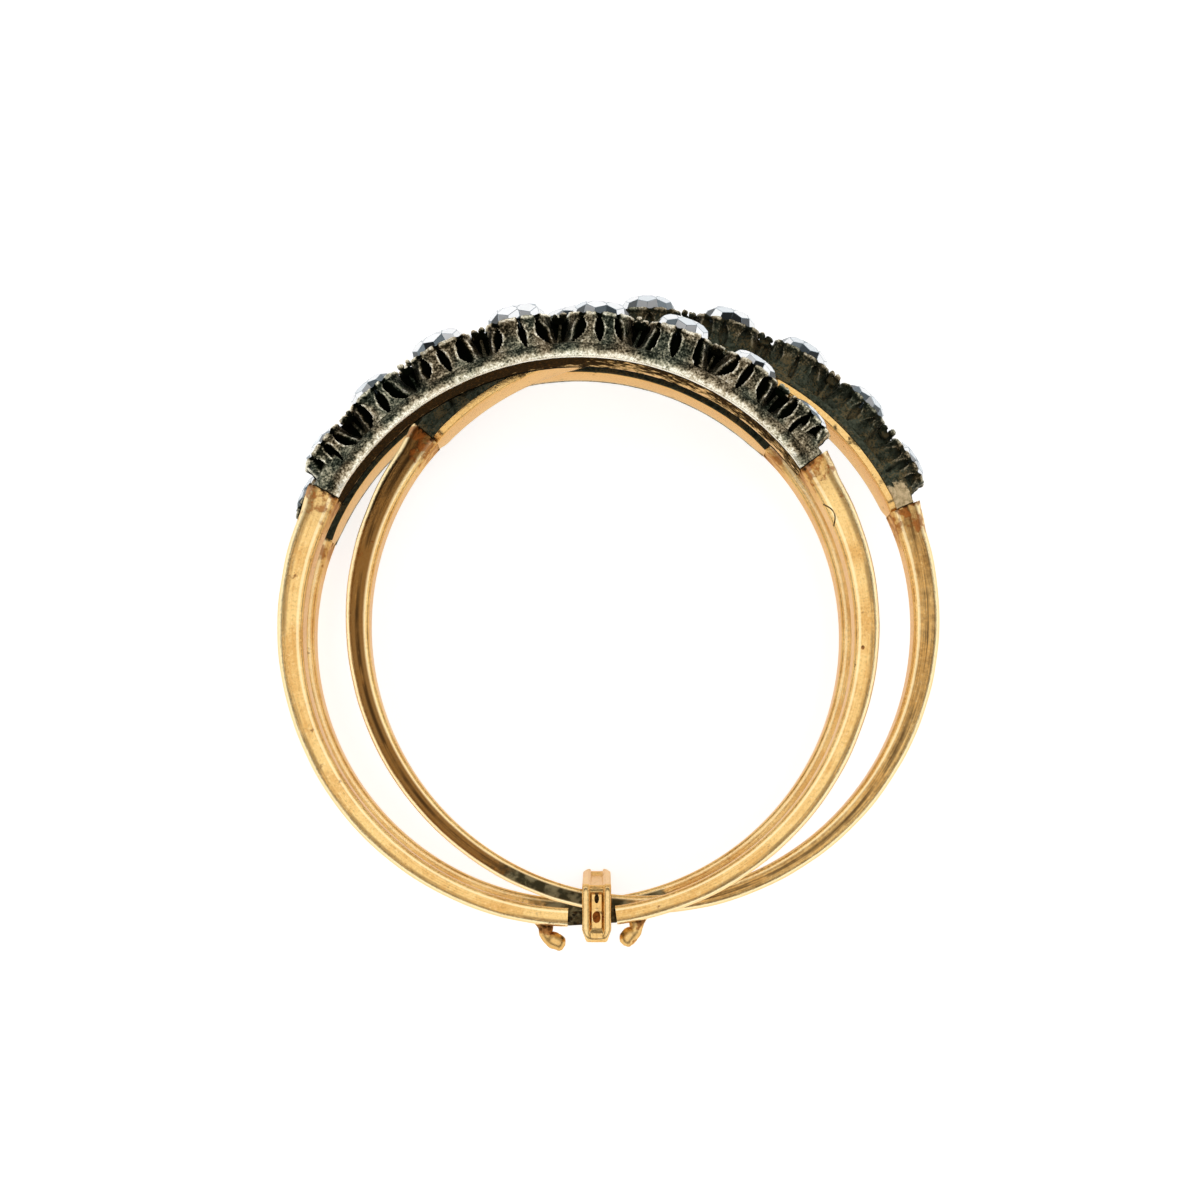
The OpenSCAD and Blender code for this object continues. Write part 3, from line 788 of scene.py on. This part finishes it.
# The middle and back heads get a lower painted light offset and a green-black film on their lower parts: a
# tarnish film that also paints them into shade behind the front head.
silver = {
    "front": silver_finish("front_silver", 0.1, 0.0),
    "middle": silver_finish("middle_silver", -0.1, 1.0),
    "back": silver_finish("back_silver", -0.1, 0.5),
}
for name, hoop in hoops.items():
    dice = random.Random(name)
    bore = hoop["bore"]
    head = head_band(hoop, rubbed_sides[name])
    angles = collet_angles(bore)
    for i, angle in enumerate(angles):
        part = collet(collet_w(i), dice)
        bmesh.ops.transform(part, matrix=at_head(bore, angle), verts=part.verts[:])
        add_to(head, part)
    for left, right in zip(angles, angles[1:]):
        add_to(head, grains_between(bore, (left + right) / 2, dice))
        if dice.random() < 0.7:
            add_to(head, rib_between(bore, (left + right) / 2, dice))
    mark(head, "high", lambda co: 0.75 * smooth(0.8, 1.3, radius_of(co) - bore))
    mark(head, "solder", lambda co: solder_runs[name] * solder_run(co, bore))
    make_piece(head, name + "_silver", name + "_hoop", "silver", silver[name], hoop["place"],
               "silver_setting_" + name)

# Stones: old-cut diamonds, ground by hand, each a little different: a table on a high crown, rings of facets
# round it, and a pointed back in the collet. They are clear; their white and dark facets are painted
# reflection, with a shade from near black to white given to each facet. Each sits on the seat in its collet.
crown_share = 0.6
table_share = 0.7
pavilion_share = 0.8
facet_edge = 0.01
# Facet edges get a middle grey: painted reflection that draws thin lines between the facets.
edge_painted_reflection = 0.42


def grind(bm, turn, slope, reach, sparkle):
    """Grinds one flat facet: takes away all that lies further out than reach in its tilted direction."""
    way = Vector((math.sin(slope) * math.cos(turn), math.sin(slope) * math.sin(turn), math.cos(slope)))
    whole = bm.verts[:] + bm.edges[:] + bm.faces[:]
    bmesh.ops.bisect_plane(bm, geom=whole, plane_co=way * reach, plane_no=way, clear_outer=True)
    filled = bmesh.ops.holes_fill(bm, edges=[e for e in bm.edges if e.is_boundary], sides=0)["faces"]
    layer = bm.faces.layers.float["sparkle"]
    for face in filled:
        face[layer] = sparkle


def cut_stone(r, height, dice):
    """One stone, its girdle at Z = 0. The facets of its back, as seen through the table, are painted on the
    table as rings of light and dark triangles: painted reflection.
    """
    crown = r * crown_share * height * dice.uniform(0.85, 1)
    table_r = r * table_share * dice.uniform(0.9, 1.1)
    main_foot = 0.36 * crown
    main = math.atan2(crown - main_foot, r - table_r)
    deep = math.atan2(r * pavilion_share, r)
    bm = bmesh.new()
    sparkle = bm.faces.layers.float.new("sparkle")
    bmesh.ops.create_cone(bm, segments=32, radius1=r, radius2=r, depth=2 * r, cap_ends=True)
    for face in bm.faces:
        face[sparkle] = 0.3
    grind(bm, 0, 0, crown, dice.uniform(0.4, 0.75))
    for k in range(8):
        turn = math.radians(45 * k + dice.uniform(-3, 3))
        reach = r * math.sin(main) + main_foot * math.cos(main)
        grind(bm, turn, main, reach, dice.choice((0.8, 0.95, 1.0)))
        grind(bm, turn, math.pi - deep, r * math.sin(deep), 0.3)
    for k in range(8):
        turn = math.radians(45 * k + 22.5)
        star = main * 0.68
        reach = table_r * math.sin(star) + crown * math.cos(star)
        grind(bm, turn, star, reach, dice.choice((0.5, 1.0, 1.0)))
    for k in range(16):
        turn = math.radians(22.5 * k + 11.25)
        steep = main + math.radians(24)
        reach = r * math.sin(steep) + 0.01 * math.cos(steep)
        grind(bm, turn, steep, reach, dice.choice((0.05, 0.3, 0.9, 1.0)))
    table = max(bm.faces, key=lambda face: face.calc_center_median().z)
    for share in (0.36, 0.4):
        ring = bmesh.ops.inset_individual(bm, faces=[table], thickness=share * table_r)["faces"]
        for face in bmesh.ops.triangulate(bm, faces=ring)["faces"]:
            face[sparkle] = dice.choice((0.15, 0.45, 0.8, 0.95, 1.0))
    table[sparkle] = 0.1
    ridges = [e for e in bm.edges if e.calc_face_angle(0) > 0.05 and min(v.co.z for v in e.verts) > 0.02]
    edge_faces = bmesh.ops.bevel(bm, geom=ridges, offset=facet_edge, segments=1, affect="EDGES",
                                 profile=0.5, material=-1)["faces"]
    for face in edge_faces:
        face[sparkle] = edge_painted_reflection
    turn = Matrix.Rotation(dice.uniform(0, 0.8), 3, "Z")
    bmesh.ops.rotate(bm, verts=bm.verts[:], cent=(0, 0, 0), matrix=turn)
    return bm


diamond = Finish("old_cut_diamond", Metallic=0.5, Transmission_Weight=0.3, IOR=2.0, Roughness=0.06)
# Base colour from each facet's painted reflection, near black to white.
diamond.feed(Base_Color=diamond.node("ShaderNodeValToRGB", {"stops": [
    (0.0, (0.012, 0.016, 0.018)), (0.2, (0.04, 0.055, 0.06)), (0.45, (0.22, 0.28, 0.32)),
    (0.7, (0.62, 0.70, 0.76)), (0.9, (0.98, 0.99, 1.0))]}, {"Fac": diamond.told("sparkle")}))
for name, hoop in hoops.items():
    dice = random.Random(name + " stones")
    for i, angle in enumerate(collet_angles(hoop["bore"])):
        off_middle = 2 * i / (STONES - 1) - 1
        gem = cut_stone(collet_w(i) / 2 - collet_wall, 1 - 0.4 * off_middle ** 2, dice)
        seat = at_head(hoop["bore"], angle) @ Matrix.Translation((0, 0, girdle_h))
        gem_name = "%s_diamond_%d" % (name, i + 1)
        make_piece(gem, gem_name, name + "_hoop", "stone", diamond.material, hoop["place"] @ seat,
                   "stone_%s_%d" % (name, i + 1))
        bpy.data.objects[gem_name].data.shade_flat()

# Keeper link: one oblong gold loop round all three feet, taller at the back, bent up from strip with a round
# rim left along each edge; the rims are painted pale as painted highlight. Its front plate has a sunk field,
# darkened with painted shade, with a small hole shown as a black spot of painted shade, and a rust-brown
# rivet's head.
link_w = 0.9
bar_t = 0.31
opening_h = 1.16
opening_flare = 0.5
turning_room = 0.04
back_plate_t = 0.28
front_plate_t = 0.36
link_corner_r = 0.26
slot_corner_r = 0.12
rim_w = 0.23
rim_h = 0.07
field_lo = -0.6
field_hi = 0.66
field_d = 0.1
hole_y = 0.45
hole_r = 0.09
rivet_y = -0.12
rivet_r = 0.15
link_top = front["z"] + neck_w / 2 + 0.14 + front_plate_t
field_top = link_top - rim_h - field_d
far_top = opening_h / 2 + bar_t - 0.2


def rounded(corners, rounding, outside):
    """A flat line round the given corners, which are rounded, on the link's left side."""
    bm = bmesh.new()
    verts = [bm.verts.new((-link_w / 2, y, z)) for y, z in corners]
    bm.faces.new(verts)
    bmesh.ops.bevel(bm, geom=verts, offset=rounding, offset_type="OFFSET", affect="VERTICES",
                    segments=8, profile=0.5, material=-1)
    bmesh.ops.delete(bm, geom=bm.faces[:], context="FACES_ONLY")
    bmesh.ops.subdivide_edges(bm, edges=[e for e in bm.edges if e.calc_length() > 0.5], cuts=24)
    mark(bm, "outside", lambda co: outside)
    return bm


def make_link():
    """The loop: its side is drawn out in small steps, and its outside is sunk between two round rims."""
    half = opening_h / 2
    slope = opening_flare / (link_top - back_plate_t)
    plate_foot = link_top - front_plate_t
    foot = -half - bar_t
    back = half + bar_t + slope * link_top
    bm = rounded([(foot, 0), (foot, link_top), (half + bar_t, link_top), (back, 0)], link_corner_r, 1)
    loose = half + turning_room
    opening = [(-half, back_plate_t), (-half, plate_foot), (loose + slope * front_plate_t, plate_foot),
               (loose + slope * (link_top - back_plate_t), back_plate_t)]
    add_to(bm, rounded(opening, slot_corner_r, 0))
    side = bmesh.ops.bridge_loops(bm, edges=bm.edges[:])["faces"]
    steps = 48
    for k in range(steps):
        drawn = bmesh.ops.extrude_face_region(bm, geom=side)["geom"]
        moved = [v for v in drawn if isinstance(v, bmesh.types.BMVert)]
        bmesh.ops.translate(bm, vec=(link_w / steps, 0, 0), verts=moved)
        if k:
            bmesh.ops.delete(bm, geom=side, context="FACES_ONLY")
        side = [f for f in drawn if isinstance(f, bmesh.types.BMFace)]
    outside = bm.verts.layers.float["outside"]
    half_y, half_z = (back - foot) / 2, link_top / 2
    centre_y = (back + foot) / 2
    for v in bm.verts:
        across = abs(v.co.x)
        if v[outside] > 0.5:
            off = (across - (link_w - rim_w) / 2) / (rim_w / 2)
            between = smooth(foot + 0.08, foot + 0.3, v.co.y) if off < 0 else 1
            sink = rim_h * (1 - math.sqrt(max(0, 1 - off * off))) * between
            in_front = v.co.z > link_top - 0.01 and field_lo < v.co.y < field_hi
            if in_front or v.co.y > half + bar_t and 0.9 < v.co.z < link_top - 0.3:
                sink += field_d * smooth(0.21, 0.15, across)
            v.co.y = centre_y + (v.co.y - centre_y) * (1 - sink / half_y)
            v.co.z = half_z + (v.co.z - half_z) * (1 - sink / half_z)
        v.co.x *= 1 - 0.25 * smooth(-0.45, foot, v.co.y) - 0.25 * smooth(back - 0.15, back, v.co.y)
    return bm


def sunk_field_shade(co):
    """Painted shade in the sunk fields of the front plate and of the far end, a little darker there."""
    on_front = 0.12 * smooth(0.12, 0.04, abs(co.z - field_top))
    on_far_end = 0.1 * smooth(far_top, far_top + 0.1, co.y)
    return smooth(0.3, 0.2, abs(co.x)) * max(on_front, on_far_end)


link_gold = gold_finish("link_gold", 0.0, 0.0, 0.71)
metal = make_link()
lay = metal.verts.layers.float_vector.new("lay")
# The rims get share 1, which the gold finish paints pale like a worn outer edge: painted highlight on the
# rims.
for v in metal.verts:
    on_rim = abs(abs(v.co.x) - (link_w - rim_w) / 2) < rim_w * 0.3
    v[lay] = (v.co.z * 0.3, 1 if on_rim else 0.4, 0)
mark(metal, "grime", sunk_field_shade)
rivet = bmesh.new()
bmesh.ops.create_uvsphere(rivet, u_segments=24, v_segments=14, radius=rivet_r)
bmesh.ops.scale(rivet, vec=(0.85, 1.15, 0.5), verts=rivet.verts[:])
for v in rivet.verts:
    v.co += v.co.normalized() * lumps(v.co, 0.12, 0.03)
bmesh.ops.translate(rivet, vec=(0, rivet_y, field_top), verts=rivet.verts[:])
mark(rivet, "solder", lambda co: 3.0)
mark(rivet, "grime", lambda co: 0.14)
add_to(metal, rivet)
# The small hole is not cut: this black spot on the field is painted shade standing for it.
painted_hole = bmesh.new()
bmesh.ops.create_uvsphere(painted_hole, u_segments=20, v_segments=10, radius=hole_r)
bmesh.ops.scale(painted_hole, vec=(0.8, 1.6, 0.3), verts=painted_hole.verts[:])
bmesh.ops.translate(painted_hole, vec=(0, hole_y, field_top), verts=painted_hole.verts[:])
mark(painted_hole, "grime", lambda co: 3.0)
add_to(metal, painted_hole)
link_place = Matrix.Scale(MM, 4) @ Matrix.Translation((link_x, link_y, 0))
make_piece(metal, "linking_loop", "keeper", "gold", link_gold, link_place, "keeper_link")

# Table top and light: a white lit table under a soft tent of light, which is bright overhead and low down
# all round and dimmer between them, so that polished edges show a bright line beside a dark one.
table_half_m = 0.6
tent_strength = 1.35
bm = bmesh.new()
bmesh.ops.create_grid(bm, x_segments=1, y_segments=1, size=table_half_m)
floor_mesh = bpy.data.meshes.new("table_top")
bm.to_mesh(floor_mesh)
bm.free()
floor = bpy.data.objects.new("table_top", floor_mesh)
bpy.context.scene.collection.objects.link(floor)
white = Finish("white_table", Base_Color=(0.62, 0.62, 0.62, 1), Roughness=0.8,
               Emission_Color=(1, 1, 1, 1), Emission_Strength=0.72)
floor_mesh.materials.append(white.material)

tent = bpy.data.worlds.new("light_tent")
bench = NodeBench(tent)
way = bench.node("ShaderNodeTexCoord", {}, {}, "Generated")
height = bench.split(way)[2] * 0.5 + 0.5
glow = bench.node("ShaderNodeValToRGB", {"stops": [
    (0.0, (0.9, 0.9, 0.9)), (0.5, (1.0, 1.0, 1.0)), (0.63, (0.95, 0.95, 0.95)), (0.73, (0.12, 0.12, 0.12)),
    (0.85, (0.12, 0.12, 0.12)), (0.92, (0.95, 0.95, 0.95))]}, {"Fac": height})
sky = tent.node_tree.nodes["Background"]
bench.tree.links.new(glow.socket, sky.inputs["Color"])
sky.inputs["Strength"].default_value = tent_strength
bpy.context.scene.world = tent
bpy.context.scene.view_settings.view_transform = "Standard"

# Camera: it looks straight down the finger onto the front hoop, a little from the link's side, and has the
# hoop's hole where the photograph has it.
photo_px = 1200
px_per_mm = 32
hole_px = (578.8, 631)
camera_gap = 90
camera_tilt = math.radians(5.5)
front_face = 6.1
sensor_w = 36
hole = front["place"] @ Vector((0, 0, 0)) / MM
off_x, off_y = ((photo_px / 2 - px) / px_per_mm for px in hole_px)
aim = Vector((hole.x + off_x, hole.y - off_y, front_face))
lens = bpy.data.cameras.new("camera")
lens.sensor_width = sensor_w
lens.lens = sensor_w * px_per_mm * camera_gap / photo_px
lens.clip_start = 0.001
camera = bpy.data.objects.new("camera", lens)
camera.rotation_euler = (camera_tilt, 0, 0)
camera.location = (aim + Matrix.Rotation(camera_tilt, 3, "X") @ Vector((0, 0, camera_gap))) * MM
bpy.context.scene.collection.objects.link(camera)
bpy.context.scene.camera = camera
